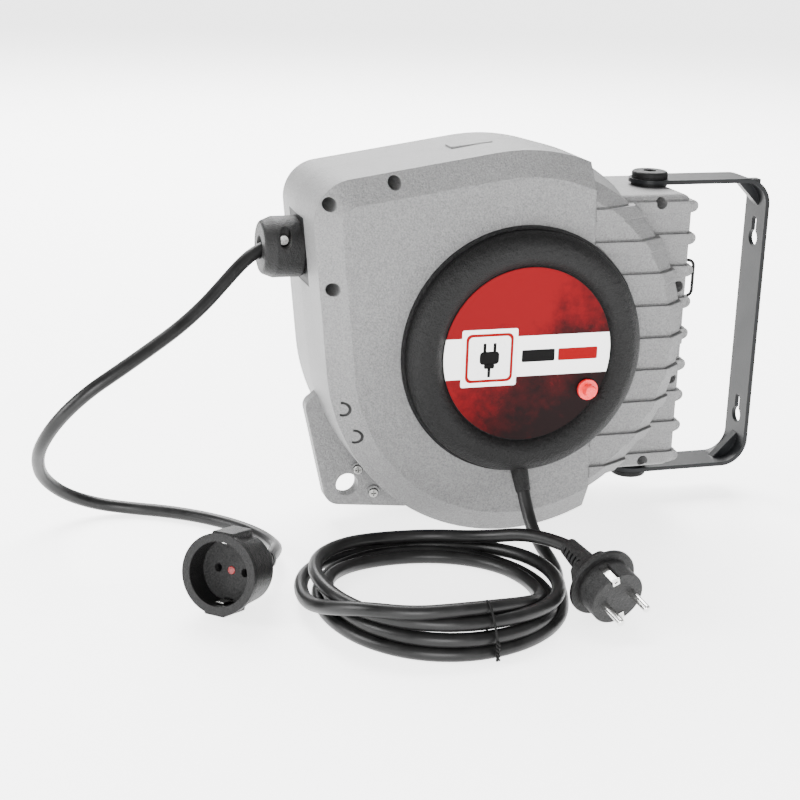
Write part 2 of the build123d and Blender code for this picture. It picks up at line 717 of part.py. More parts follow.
def clamp_screw(z, head_depth, way):
    """Stopper screw; its head looks forward with way=1 and back with way=-1."""
    plane = Plane(origin=hub(CLAMP_X, head_depth, z), x_dir=(1, 0, 0), z_dir=(0, -way, 0))
    with BuildPart() as screw:
        with BuildSketch(plane):
            Circle(3.3)
        extrude(amount=2.4)
        with BuildSketch(plane):
            Circle(1.8)
        extrude(amount=-24)
        with BuildSketch(plane.offset(1.4)):
            Rectangle(3.8, 0.9)
            Rectangle(0.9, 3.8)
        extrude(amount=2, mode=Mode.SUBTRACT)
    return screw.part


clamp_screws = [clamp_screw(LEAD_Z + CLAMP_OFFSET, 65, 1), clamp_screw(LEAD_Z - CLAMP_OFFSET, 85, -1)]
save(Compound(children=clamp_screws), "stopper_screws")

# ------------------------------------------------------------ pivot and bracket
ARM_FAR = {way: seat + way * (ARM_GAP + STRAP_T) for way, seat in SEATS.items()}
with BuildPart() as bracket:
    middle = (ARM_FAR[1] + ARM_FAR[-1]) / 2
    height = ARM_FAR[1] - ARM_FAR[-1]
    with BuildSketch(facing(PARTING + STRAP_W / 2)) as strap:
        with Locations((WEB_X - ARM_LENGTH / 2, middle)):
            Rectangle(ARM_LENGTH, height)
        fillet(strap.vertices().group_by(Axis.X)[-1], BEND_R)
        with BuildSketch(mode=Mode.PRIVATE) as inside_strap:
            with Locations((WEB_X - STRAP_T - ARM_LENGTH / 2, middle)):
                Rectangle(ARM_LENGTH, height - 2 * STRAP_T)
            fillet(inside_strap.vertices().group_by(Axis.X)[-1], BEND_R - STRAP_T)
        add(inside_strap.sketch, mode=Mode.SUBTRACT)
    extrude(amount=STRAP_W)
    with BuildSketch(level(ARM_FAR[-1] - 5, 0, PARTING)):
        with Locations((PIVOT_X, 0)):
            Circle(STRAP_W / 2)
            Rectangle(WEB_X - PIVOT_X + 10, STRAP_W, align=(Align.MIN, Align.CENTER))
    extrude(amount=height + 10, mode=Mode.INTERSECT)
    for way in (1, -1):
        with BuildSketch(facing(PARTING + 3.5)):
            with BuildLine():
                corner_x, corner_z = WEB_X - STRAP_T + 0.5, ARM_FAR[way] - way * (STRAP_T - 0.5)
                Polyline((corner_x - 20, corner_z), (corner_x, corner_z), (corner_x, corner_z - way * 20),
                         close=True)
            make_face()
        extrude(amount=7)
    add(rod(hub(PIVOT_X, PARTING, ARM_FAR[-1] - 5), hub(PIVOT_X, PARTING, ARM_FAR[1] + 5), SHOULDER_R + 2),
        mode=Mode.SUBTRACT)
    with BuildSketch(Plane(origin=(2, 0, 0), x_dir=(0, 1, 0), z_dir=(1, 0, 0))):
        for screw_z in (KEYHOLE_SCREW_Z, -KEYHOLE_SCREW_Z):
            with Locations((0, screw_z)):
                Circle(KEYHOLE_SLOT_R)
                Rectangle(2 * KEYHOLE_SLOT_R, KEYHOLE_DROP, align=(Align.CENTER, Align.MAX))
            with Locations((0, screw_z - KEYHOLE_DROP)):
                Circle(KEYHOLE_R)
    extrude(amount=-8, mode=Mode.SUBTRACT)
save(bracket.part, "bracket")


def pivot_point(way, out):
    """Point on the pivot axis, this far out from the casing's seat."""
    return hub(PIVOT_X, PARTING, SEATS[way] + way * out)


def pivot_ring(way, low, high, outer, inner):
    """Ring on the pivot axis between two distances from the casing's seat."""
    return rod(pivot_point(way, low), pivot_point(way, high), outer, inner)


ARM_OUT = ARM_GAP + STRAP_T
washers = [pivot_ring(way, 0, ARM_GAP - 0.1, BOLT_HEAD_R, SHOULDER_R) for way in SEATS]
save(Compound(children=washers), "pivot_washers")
bushes = [joined(pivot_ring(way, ARM_GAP, ARM_OUT, SHOULDER_R + 2, SHOULDER_R + RUNNING_GAP),
                 pivot_ring(way, ARM_OUT, ARM_OUT + 1, BOLT_HEAD_R, SHOULDER_R + RUNNING_GAP)) for way in SEATS]
save(Compound(children=bushes), "pivot_bushes")
HEAD_OUT = ARM_OUT + 1.1
inserts = [pivot_ring(way, POST_END - abs(seat), 0, PIVOT_INSERT_R, PIVOT_THREAD_R)
           for way, seat in SEATS.items()]
save(Compound(children=inserts), "pivot_inserts")
bolts = []
for way in SEATS:
    with BuildPart() as bolt:
        add(pivot_ring(way, HEAD_OUT, HEAD_OUT + 4, BOLT_HEAD_R, 0))
        edge = bolt.edges().sort_by(Axis.Z)[-1 if way > 0 else 0]
        fillet(edge, 1.8)
        add(pivot_ring(way, 0, HEAD_OUT, SHOULDER_R, 0))
        add(pivot_ring(way, -24, 0, PIVOT_THREAD_R, 0))
        with BuildSketch(Plane(origin=pivot_point(way, HEAD_OUT + 4), z_dir=(0, 0, way))):
            RegularPolygon(5.0, 6)
        extrude(amount=-2.5, mode=Mode.SUBTRACT)
    bolts.append(bolt.part)
save(Compound(children=bolts), "pivot_bolts")

# ---------------------------------------------------------------- safety eye
with BuildPart() as safety_eye:
    with BuildLine():
        FilletPolyline(hub(BLOCK_RIGHT - 4, 45, 23), hub(BLOCK_RIGHT + 8, 45, 25),
                       hub(BLOCK_RIGHT + 8, 45, 50), hub(BLOCK_RIGHT - 4, 45, 52), radius=4.5)
    with BuildSketch(Plane(origin=hub(BLOCK_RIGHT - 4, 45, 23), z_dir=(12, 0, 2))):
        Circle(1.1)
    sweep()
save(safety_eye.part, "safety_eye")

# ------------------------------------------------------------------ feed plug
PLUG_FACE = hub(8, -150, -116.5)
PLUG_WAY = Vector(0.19, -0.95, -0.24).normalized()
PLUG_ACROSS = (Vector(0, 0, 1).cross(PLUG_WAY)).normalized().rotate(Axis((0, 0, 0), tuple(PLUG_WAY)), -160)
PIN_SPACING = 19.0
PIN_R = 2.4
PIN_LENGTH = 19.0
PIN_ROOT = 8.0
FLANGE_BACK = -20.0
GRIP_BACK = -34.0
RELIEF_BACK = -58.0


def plug_plane(out):
    """Plane across the plug at a distance in front of its face; its x runs from pin to pin."""
    return Plane(origin=PLUG_FACE + PLUG_WAY * out, x_dir=PLUG_ACROSS, z_dir=PLUG_WAY)


with BuildPart() as plug_body:
    with BuildSketch(plug_plane(FLANGE_BACK)):
        Circle(23.5)
    extrude(amount=3.4)
    fillet(plug_body.edges(), 1.2)
    with BuildSketch(plug_plane(FLANGE_BACK)):
        Circle(17.5)
    with BuildSketch(plug_plane(GRIP_BACK)):
        RectangleRounded(26, 20, 6)
    loft(ruled=True)
with BuildPart() as plug_face:
    with BuildSketch(plug_plane(FLANGE_BACK + 3.4)):
        Circle(18.4)
    extrude(amount=-(FLANGE_BACK + 3.4))
    fillet(rim_at(plug_face, PLUG_FACE, PLUG_WAY), 0.8)
    with BuildSketch(plug_plane(0)):
        with GridLocations(0, 34.6, 1, 2):
            Rectangle(7, 5)
    extrude(amount=-14, mode=Mode.SUBTRACT)
    with BuildSketch(plug_plane(0)):
        with GridLocations(PIN_SPACING, 0, 2, 1):
            Circle(PIN_R)
    extrude(amount=-PIN_ROOT, mode=Mode.SUBTRACT)
save(plug_body.part, "plug_body")

pins = []
for side in (-1, 1):
    foot = PLUG_FACE + PLUG_ACROSS * (side * PIN_SPACING / 2)
    with BuildPart() as pin:
        add(rod(foot - PLUG_WAY * PIN_ROOT, foot + PLUG_WAY * PIN_LENGTH, PIN_R))
        fillet(rim_at(pin, foot, PLUG_WAY), 1.4)
    pins.append(pin.part)
save(Compound(children=pins), "plug_pins")

earth_clips = []
for side in (-1, 1):
    plane = plug_plane(0).shift_origin(PLUG_FACE + plug_plane(0).y_dir * (side * 15.0))
    with BuildPart() as clip:
        with BuildSketch(plane):
            Rectangle(5, 1.0)
        extrude(amount=-14)
        with BuildSketch(plane):
            Rectangle(5, 5.4)
            Circle(1.2, mode=Mode.SUBTRACT)
        extrude(amount=0.5)
    earth_clips.append(clip.part)
save(cut(plug_face.part, *earth_clips), "plug_face")
save(Compound(children=earth_clips), "plug_earth_clips")


def ribbed_boot(plane_at, front, back, radius, end_radius, grooves):
    """Bend relief: a tapering boot with short grooves across two sides."""
    with BuildPart() as boot:
        with BuildSketch(plane_at(front)):
            Circle(radius)
        with BuildSketch(plane_at(back)):
            Circle(end_radius)
        loft(ruled=True)
        spacing = (front - back) / (grooves + 1)
        for groove in range(1, grooves + 1):
            with BuildSketch(plane_at(front - groove * spacing)):
                Rectangle(4 * radius, 4 * radius)
                Rectangle(0.9 * radius, 4 * radius, mode=Mode.SUBTRACT)
                Circle(0.72 * end_radius, mode=Mode.SUBTRACT)
            extrude(amount=1.6, mode=Mode.SUBTRACT)
    return boot.part


save(ribbed_boot(plug_plane, GRIP_BACK, RELIEF_BACK, 8.4, 6.2, 5), "plug_relief")

# ------------------------------------------------------------- lead coupling
SOCKET_FACE = hub(-230.65, -83, -105)
SOCKET_WAY = Vector(-0.65, -0.73, 0.2).normalized()
SOCKET_ACROSS = Vector(0, 0, 1).cross(SOCKET_WAY).normalized()
RECESS_R = 20.3
RECESS_DEPTH = 17.0
BODY_BACK = -45.0
BOOT_BACK = -65.0


def socket_plane(out):
    """Plane across the coupling at a distance in front of its face; its y is nearly up."""
    return Plane(origin=SOCKET_FACE + SOCKET_WAY * out, x_dir=SOCKET_ACROSS, z_dir=SOCKET_WAY)


with BuildPart() as coupling_body:
    with BuildSketch(socket_plane(0)):
        Circle(25.6)
    extrude(amount=-4)
    with BuildSketch(socket_plane(-4)):
        Circle(24.6)
    with BuildSketch(socket_plane(-30)):
        Circle(22.5)
    loft(ruled=True)
    with BuildSketch(socket_plane(-30)):
        Circle(22.5)
    with BuildSketch(socket_plane(BODY_BACK)):
        Circle(13)
    loft(ruled=True)
    with BuildSketch(socket_plane(-1)):
        with GridLocations(0, 47, 1, 2):
            RectangleRounded(15, 5.6, 1.6)
    extrude(amount=-25)
    with BuildSketch(socket_plane(0)):
        Circle(RECESS_R)
    extrude(amount=-RECESS_DEPTH - 13, mode=Mode.SUBTRACT)
save(coupling_body.part, "coupling_body")

INSERT_R = RECESS_R
with BuildPart() as coupling_insert:
    with BuildSketch(socket_plane(-RECESS_DEPTH)):
        Circle(INSERT_R)
        with GridLocations(0, 2 * INSERT_R - 2, 1, 2):
            Rectangle(6, 3, mode=Mode.SUBTRACT)
        with GridLocations(PIN_SPACING, 0, 2, 1):
            Circle(PIN_R + 0.2, mode=Mode.SUBTRACT)
        Circle(2.6, mode=Mode.SUBTRACT)
    extrude(amount=-4)
    with BuildSketch(socket_plane(-RECESS_DEPTH - 4)):
        Circle(INSERT_R)
        with GridLocations(0, 2 * INSERT_R - 2, 1, 2):
            Rectangle(6, 3, mode=Mode.SUBTRACT)
        with GridLocations(PIN_SPACING, 0, 2, 1):
            Circle(3.4, mode=Mode.SUBTRACT)
    extrude(amount=-9)
save(coupling_insert.part, "coupling_insert")
with BuildPart() as centre_cap:
    with BuildSketch(socket_plane(-RECESS_DEPTH - 4)):
        Circle(2.6)
    extrude(amount=4.6)
    fillet(rim_at(centre_cap, SOCKET_FACE, SOCKET_WAY), 0.6)
save(centre_cap.part, "coupling_centre_cap")

sleeves = []
socket_clips = []
for side in (-1, 1):
    start = SOCKET_FACE - SOCKET_WAY * (RECESS_DEPTH + 4) + SOCKET_ACROSS * (side * PIN_SPACING / 2)
    sleeves.append(rod(start, start - SOCKET_WAY * 9, 3.4, PIN_R + 0.05))
    with BuildPart() as strip:
        with BuildSketch(socket_plane(-6)):
            with Locations((0, side * (RECESS_R - 1.4))):
                Rectangle(5.4, 1.0)
        extrude(amount=-RECESS_DEPTH - 3)
    socket_clips.append(strip.part)
save(Compound(children=sleeves), "coupling_sleeves")
save(Compound(children=socket_clips), "coupling_earth_clips")
save(ribbed_boot(socket_plane, BODY_BACK, BOOT_BACK, 9.5, 6.4, 4), "coupling_relief")

# ----------------------------------------------------------------------- cords
save(rod(hub(-38, PARTING, LEAD_Z), hub(LEAD_START, PARTING, LEAD_Z), CORD_R), "lead_inner")

LEAD_ROUTE = [
    hub(LEAD_START, PARTING, LEAD_Z), hub(-174.2, 73.6, 60.5), hub(-184, 70.5, 53.5),
    hub(-196, 66, 42.5), hub(-210, 61, 29.5), hub(-228, 55, 16), hub(-249, 48, 4),
    hub(-271, 41, -8), hub(-293, 38, -21), hub(-311, 43.5, -39.5), hub(-321.5, 57, -60.5),
    hub(-323, 76, -79), hub(-318, 94.5, -98), hub(-302.5, 107, -115.5), hub(-279, 113.5, -127.5),
    hub(-253, 109.5, -131.5), hub(-229, 97.5, -131.5), hub(-207, 81, -131.5),
    hub(-189, 61.5, -131.5), hub(-177, 38.5, -130.5), hub(-173, 13, -128),
    hub(-176.5, -12, -122.5), SOCKET_FACE + SOCKET_WAY * BOOT_BACK,
]
save(cord_along("lead_cord", LEAD_ROUTE), "lead_cord")

FEED_ROUTE = [
    GLAND_END, hub(1.8, -13, -114), hub(3.4, -29, -126), hub(4.4, -48, -130.5),
    hub(1.5, -67, -130.6), hub(-5.5, -86, -130.6), hub(-16, -103, -130.6),
]
save(cord_along("feed_cord", FEED_ROUTE), "feed_cord")

COIL_CENTRE = (-97, -92)
COIL_TURN = 90.0
COIL_OUTER = (87.5, 82.0)
COIL_INNER = (59.5, 54.0)
COIL_LOW = GROUND + 0.8
COIL_TOP = -113.5
with BuildPart() as feed_coil:
    with BuildSketch(level(COIL_LOW, *COIL_CENTRE)):
        Ellipse(*COIL_OUTER, rotation=COIL_TURN)
        Ellipse(*COIL_INNER, rotation=COIL_TURN, mode=Mode.SUBTRACT)
    extrude(amount=COIL_TOP - COIL_LOW)
    fillet(feed_coil.edges().group_by(Axis.Z)[0] + feed_coil.edges().group_by(Axis.Z)[-1], 6)
save(feed_coil.part, "feed_coil")

PLUG_CORD_ROUTE = [
    hub(-60, -21, -113.5), hub(-40, -34, -106), hub(-21, -53, -100), hub(-7.5, -74, -98.5),
    PLUG_FACE + PLUG_WAY * RELIEF_BACK,
]
save(cord_along("plug_cord", PLUG_CORD_ROUTE), "plug_cord")

coil_plane = level((COIL_LOW + COIL_TOP) / 2, *COIL_CENTRE).rotated((0, 0, COIL_TURN))
coil_middle = Edge.make_ellipse(73.5, 68, coil_plane)
TIE_SHARE = 0.526               # how far round the coil the tie sits
with BuildPart() as coil_tie:
    with BuildSketch(Plane(origin=coil_middle.position_at(TIE_SHARE), x_dir=(0, 0, 1),
                           z_dir=coil_middle.tangent_at(TIE_SHARE))):
        RectangleRounded(COIL_TOP - COIL_LOW + 1.6, 29.8, 7)
        RectangleRounded(COIL_TOP - COIL_LOW + 0.2, 28.4, 6.3, mode=Mode.SUBTRACT)
    extrude(amount=2.5)
save(coil_tie.part, "coil_tie")
print("tie at", coil_middle.position_at(TIE_SHARE) - HUB, coil_middle.tangent_at(TIE_SHARE))

print("plug face", PLUG_FACE, "way", PLUG_WAY, "across", PLUG_ACROSS)
print("socket face", SOCKET_FACE, "way", SOCKET_WAY, "across", SOCKET_ACROSS)
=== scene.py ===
import json
from math import cos, pi, radians, sin

import bpy
from mathutils import Matrix, Vector


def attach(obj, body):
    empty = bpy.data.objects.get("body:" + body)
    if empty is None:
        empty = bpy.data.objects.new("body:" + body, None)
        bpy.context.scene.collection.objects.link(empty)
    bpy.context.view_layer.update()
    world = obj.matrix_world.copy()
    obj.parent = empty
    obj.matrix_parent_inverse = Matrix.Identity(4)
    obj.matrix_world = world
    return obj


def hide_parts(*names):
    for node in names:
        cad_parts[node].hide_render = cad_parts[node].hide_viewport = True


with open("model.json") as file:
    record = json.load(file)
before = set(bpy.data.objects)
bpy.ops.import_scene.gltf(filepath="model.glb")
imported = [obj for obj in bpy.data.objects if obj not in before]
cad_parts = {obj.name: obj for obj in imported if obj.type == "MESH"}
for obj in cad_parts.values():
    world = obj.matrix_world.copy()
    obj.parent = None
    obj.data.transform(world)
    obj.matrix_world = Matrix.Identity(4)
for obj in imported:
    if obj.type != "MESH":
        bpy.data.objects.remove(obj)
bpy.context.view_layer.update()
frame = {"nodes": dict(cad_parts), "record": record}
nodes = frame["nodes"]

# Looks of a wall-mounted cable reel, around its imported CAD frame.
# Metres, in the part's own frame: the origin is on the wall between the two wall screws,
# +X points into the wall, +Z is up, and the reel's round front faces -Y.
# hub(x, depth, z) takes millimetres from the centre of the label, as the CAD source does.

MM = 0.001
HUB = Vector((-0.208, -0.075, -0.003))
FLOOR = -0.139

CAMERA_AT = Vector((-0.6345, -1.1196, 0.3097))
CAMERA_AZIMUTH = -17.84
CAMERA_ELEVATION = 17.19
CAMERA_ROLL = 1.91
CAMERA_LENS = 77.3


def hub(x, depth, z):
    """Point given in millimetres from the hub."""
    return HUB + Vector((x, depth, z)) * MM


def direction(azimuth, elevation):
    """Unit vector towards a viewer; azimuth 0 is in front of the reel, negative is to its left."""
    around = radians(azimuth)
    height = radians(elevation)
    return Vector((sin(around) * cos(height), -cos(around) * cos(height), sin(height)))


# ---------------------------------------------------------------------- camera

def add_camera():
    """Camera at the photograph's viewing angle."""
    back = direction(CAMERA_AZIMUTH, CAMERA_ELEVATION)
    right = (-back).cross(Vector((0, 0, 1))).normalized()
    up = right.cross(-back)
    roll = radians(CAMERA_ROLL)
    rolled_right = right * cos(roll) + up * sin(roll)
    rolled_up = up * cos(roll) - right * sin(roll)
    turn = Matrix((rolled_right, rolled_up, back)).transposed().to_4x4()
    data = bpy.data.cameras.new("camera")
    data.lens = CAMERA_LENS
    camera = bpy.data.objects.new("camera", data)
    camera.matrix_world = Matrix.Translation(CAMERA_AT) @ turn
    bpy.context.scene.collection.objects.link(camera)
    bpy.context.scene.camera = camera


# ----------------------------------------------------------------------- cords

CORD_R = 4.5
LEAD_ROUTE = [
    (-166, 75, 64), (-174.2, 73.6, 60.5), (-184, 70.5, 53.5), (-196, 66, 42.5), (-210, 61, 29.5),
    (-228, 55, 16), (-249, 48, 4), (-271, 41, -8), (-293, 38, -21), (-311, 43.5, -39.5),
    (-321.5, 57, -60.5), (-323, 76, -79), (-318, 94.5, -98), (-302.5, 107, -115.5),
    (-279, 113.5, -127.5), (-253, 109.5, -131.5), (-229, 97.5, -131.5), (-207, 81, -131.5),
    (-189, 61.5, -131.5), (-177, 38.5, -130.5), (-173, 13, -128), (-176.5, -12, -122.5),
    (-188.3, -35.4, -118),
]
FEED_ROUTE = [(0.8, -3, -97.8), (1.8, -13, -114), (3.4, -29, -126), (4.4, -48, -130.5),
              (1.5, -67, -131.5), (-5.5, -86, -131.5)]
PLUG_CORD_ROUTE = [(-70, -9, -122), (-39, -29, -118.5), (-13, -64, -104), (-3.1, -94.8, -102.6)]

COIL_CENTRE = (-95, -88)
# The loose turns: angle in degrees, clockwise from the right as seen from above, then the distance
# from the centre and the height.
COIL_KEYS = [
    (0, 86, -131.5), (90, 86.5, -131.5), (180, 71, -131.5), (270, 77, -131.5),
    (360, 78, -131.5), (450, 86, -122.5), (540, 66, -124), (630, 67, -131.5),
    (720, 70, -129), (810, 78, -105.8), (850, 85, -107), (900, 82.5, -125), (990, 87, -131.5),
    (1080, 84, -121.5), (1170, 82, -114), (1260, 73, -113), (1350, 82, -121.5),
]
COIL_START = 15
COIL_END = 1340
COIL_STEP = 20


def coil_point(angle):
    """Point of the coil: four turns that are stacked at the front and fan out at the back."""
    for first, second in zip(COIL_KEYS, COIL_KEYS[1:]):
        if first[0] <= angle <= second[0]:
            share = (angle - first[0]) / (second[0] - first[0])
            ease = (1 - cos(pi * share)) / 2
            reach = first[1] + (second[1] - first[1]) * ease
            height = first[2] + (second[2] - first[2]) * ease
    return (
        COIL_CENTRE[0] + reach * cos(radians(angle)),
        COIL_CENTRE[1] - reach * sin(radians(angle)),
        height,
    )


def cord(name, points, radius):
    """Round cord along control points given from the hub."""
    data = bpy.data.curves.new(name, "CURVE")
    data.dimensions = "3D"
    data.bevel_depth = 1.0          # each point's own radius gives the thickness
    data.bevel_resolution = 8
    data.use_fill_caps = True
    data.resolution_u = 10
    spline = data.splines.new("NURBS")
    spline.points.add(len(points) - 1)
    for place, point in zip(spline.points, points):
        place.co = (*hub(*point), 1)
        place.radius = radius * MM
    spline.order_u = 3
    spline.use_endpoint_u = True
    piece = bpy.data.objects.new(name, data)
    bpy.context.scene.collection.objects.link(piece)
    return piece


def line_length(piece):
    """Length of a curve's own line."""
    bare = piece.data.copy()
    bare.bevel_depth = 0
    holder = bpy.data.objects.new("measure", bare)
    mesh = bpy.data.meshes.new_from_object(holder)
    length = sum((mesh.vertices[a].co - mesh.vertices[b].co).length
                 for a, b in (edge.vertices for edge in mesh.edges))
    bpy.data.meshes.remove(mesh)
    bpy.data.objects.remove(holder)
    bpy.data.curves.remove(bare)
    return length


def add_cords():
    """The lead, and the feed cord with its coil."""
    lead = cord("lead_line", LEAD_ROUTE, CORD_R)
    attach(lead, "lead")
    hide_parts("lead_cord")

    turns = [coil_point(angle) for angle in range(COIL_START, COIL_END, COIL_STEP)]
    feed = cord("feed_line", FEED_ROUTE + turns + PLUG_CORD_ROUTE, CORD_R)
    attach(feed, "casing")
    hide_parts("feed_cord", "feed_coil", "plug_cord")
    return lead, feed


TIE_ANGLE = 82                  # degrees round the coil
WIRE_R = 0.8
TWIST_R = 0.9                   # of the two wires round each other
TWIST_STEPS = 16
TWIST_TURNS = 2.5


def add_tie():
    """Thin twist tie round the coil's turns, its two ends twisted together in front."""
    stack = [Vector(coil_point(TIE_ANGLE + 360 * turn)) for turn in (0, 1, 3, 2)]
    along = (Vector(coil_point(TIE_ANGLE + 4)) - Vector(coil_point(TIE_ANGLE - 4))).normalized()
    out = along.cross(Vector((0, 0, 1))).normalized()
    if out.dot(stack[0] - Vector((*COIL_CENTRE, stack[0].z))) < 0:
        out = -out
    reach = CORD_R + WIRE_R
    loop = [stack[0] - Vector((0, 0, reach * 0.8)) - out * reach * 0.8]
    loop += [place - out * reach for place in stack]
    loop += [stack[-1] + Vector((0, 0, reach))]
    loop += [place + out * reach for place in reversed(stack)]
    loop += [stack[0] - Vector((0, 0, reach * 0.8)) + out * reach * 0.8]
    lean = along * 2.2
    band = cord("tie_band", [tuple(point + lean * (0.5 - i / len(loop))) for i, point in enumerate(loop)],
                WIRE_R)
    twist_from = stack[1] + out * (reach + 1.2)
    twist_to = stack[0] + out * (reach + 1.8) - Vector((0, 0, 2.5))
    pieces = [band]
    for phase in (0, pi):
        points = []
        for step in range(TWIST_STEPS + 1):
            share = step / TWIST_STEPS
            middle = twist_from.lerp(twist_to, share)
            angle = phase + share * TWIST_TURNS * 2 * pi
            points.append(tuple(middle + along * (TWIST_R * cos(angle)) + out * (TWIST_R * sin(angle))))
        pieces.append(cord("tie_end_a" if phase == 0 else "tie_end_b", points, WIRE_R * 0.8))
    for piece in pieces:
        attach(piece, "casing")
    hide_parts("coil_tie")
    return pieces


# ------------------------------------------------------------------- materials

class Paint:
    """A material under construction, with short calls for the nodes it is made of."""

    def __init__(self, name, material=None):
        """Starts a new material of this name, or goes on with one that is given."""
        self.material = material or bpy.data.materials.new(name)
        self.material.use_nodes = True
        self.tree = self.material.node_tree
        self.shader = self.tree.nodes["Principled BSDF"]
        self.place = self.node("ShaderNodeTexCoord").outputs["Object"]

    def node(self, kind, links=(), **values):
        """New node with values on its sockets and links into them."""
        made = self.tree.nodes.new(kind)
        for key, value in values.items():
            made.inputs[key.replace("_", " ").title()].default_value = value
        for socket, source in links:
            self.tree.links.new(source, made.inputs[socket])
        return made

    def set(self, **values):
        """Constants on the shader's sockets."""
        for key, value in values.items():
            self.shader.inputs[key.replace("_", " ")].default_value = value
        return self

    def wire(self, source, socket):
        """Link into the shader."""
        self.tree.links.new(source, self.shader.inputs[socket])

    def noise(self, scale, detail=2.0, roughness=0.5, place=None):
        made = self.node("ShaderNodeTexNoise", [("Vector", place or self.place)],
                         scale=scale, detail=detail, roughness=roughness)
        return made.outputs["Fac"]

    def ramp(self, source, *stops):
        """Colour ramp with (position, colour) stops; a colour is a number for grey, or three."""
        made = self.node("ShaderNodeValToRGB", [("Fac", source)])
        band = made.color_ramp
        for index, (position, colour) in enumerate(stops):
            stop = band.elements[index] if index < 2 else band.elements.new(position)
            stop.position = position
            rgb = colour if isinstance(colour, tuple) else (colour, colour, colour)
            stop.color = (*rgb, 1)
        return made.outputs["Color"]

    def mix(self, first, second, amount, blend="MIX"):
        """Blend of two colours, each a socket or three numbers."""
        made = self.tree.nodes.new("ShaderNodeMix")
        made.data_type = "RGBA"
        made.blend_type = blend
        for socket, value in ((made.inputs[6], first), (made.inputs[7], second), (made.inputs[0], amount)):
            if isinstance(value, bpy.types.NodeSocket):
                self.tree.links.new(value, socket)
            elif isinstance(value, tuple):
                socket.default_value = (*value, 1)
            else:
                socket.default_value = value
        return made.outputs[2]

    def sum(self, operation, first, second=0.0, third=0.0):
        """Arithmetic on sockets or numbers."""
        made = self.tree.nodes.new("ShaderNodeMath")
        made.operation = operation
        for socket, value in zip(made.inputs, (first, second, third)):
            if isinstance(value, bpy.types.NodeSocket):
                self.tree.links.new(value, socket)
            else:
                socket.default_value = value
        return made.outputs[0]

    def bump(self, height, strength, distance, below=None):
        """Bump over what lies below it."""
        links = [("Height", height)]
        if below is not None:
            links.append(("Normal", below))
        return self.node("ShaderNodeBump", links, strength=strength, distance=distance).outputs["Normal"]

    def rounded(self, radius):
        """Normals with softened edges."""
        made = self.node("ShaderNodeBevel", radius=radius)
        made.samples = 6
        return made.outputs["Normal"]


def moulded(name, dark, light, roughness, grain, bumpiness, edge=0.0008, shine_level=0.5):
    """Moulded plastic or rubber with a spark-eroded grain and softened edges."""
    paint = Paint(name).set(Specular_IOR_Level=shine_level)
    fine = paint.noise(1 / grain, 3, 0.65)
    broad = paint.noise(14, 3, 0.5)
    speckle = paint.ramp(fine, (0.3, dark), (0.7, light))
    tone = paint.ramp(broad, (0.3, 0.93), (0.7, 1.0))
    paint.wire(paint.mix(speckle, tone, 1.0, "MULTIPLY"), "Base Color")
    shine = paint.sum("MULTIPLY_ADD", fine, 0.2, roughness - 0.1)
    paint.wire(shine, "Roughness")
    height = paint.sum("ADD", fine, paint.noise(0.3 / grain, 2, 0.5))
    paint.wire(paint.bump(height, bumpiness, grain, paint.rounded(edge)), "Normal")
    return paint.material


def metal(name, colour, roughness, brushing, edge=0.0004):
    """Plated or bare metal with faint stains and fine scratches."""
    paint = Paint(name).set(Metallic=1.0)
    stretched = paint.node("ShaderNodeMapping", [("Vector", paint.place)], scale=(1, 1, 14)).outputs[0]
    scratches = paint.noise(brushing, 4, 0.7, stretched)
    stains = paint.noise(90, 4, 0.6)
    darker = tuple(0.72 * value for value in colour)
    paint.wire(paint.mix(darker, colour, stains), "Base Color")
    paint.wire(paint.sum("MULTIPLY_ADD", scratches, 0.25, roughness - 0.1), "Roughness")
    paint.wire(paint.bump(scratches, 0.12, 0.0001, paint.rounded(edge)), "Normal")
    return paint.material


CASING = (0.08, 0.175, 0.5, 0.0011, 0.6, 0.0012, 0.4)
# centres of two sunk arcs on the front, in millimetres from the hub, where the casing gets painted shade
SHADED_ARCS = [(-124.4, -37.3), (-115.5, -57.2)]
SHADED_ARC_RADIUS = 0.0046
SHADED_ARC_HALF_WIDTH = 0.0009
SHADED_ARC_START = -0.0013            # the arcs' open side lies to the left of this
SHADED_ARC_BACK = -0.03               # they are only on the front, before this depth


def casing_with_arc_shade():
    """The casing's plastic, with painted shade inside the two sunk arcs on its front."""
    material = moulded("casing_grey_arc_shade", *CASING)
    paint = Paint(material.name, material)
    parts = paint.node("ShaderNodeSeparateXYZ", [("Vector", paint.place)]).outputs
    inside = 0.0
    for x, z in SHADED_ARCS:
        middle = hub(x, 0, z)
        dx = paint.sum("SUBTRACT", parts[0], middle.x)
        dz = paint.sum("SUBTRACT", parts[2], middle.z)
        reach = paint.sum("SQRT", paint.sum("ADD", paint.sum("MULTIPLY", dx, dx),
                                            paint.sum("MULTIPLY", dz, dz)))
        off_line = paint.sum("ABSOLUTE", paint.sum("SUBTRACT", reach, SHADED_ARC_RADIUS))
        near = paint.sum("LESS_THAN", off_line, SHADED_ARC_HALF_WIDTH)
        arc = paint.sum("MULTIPLY", near, paint.sum("GREATER_THAN", dx, SHADED_ARC_START))
        inside = paint.sum("ADD", inside, arc)
    front = paint.sum("LESS_THAN", parts[1], SHADED_ARC_BACK)
    plain = paint.shader.inputs["Base Color"].links[0].from_socket
    # painted shade: the casing turns near black inside the sunk arcs, where the grooves would lie in
    # shadow
    paint.wire(paint.mix(plain, (0.01, 0.01, 0.01), paint.sum("MULTIPLY", inside, front)), "Base Color")
    return material


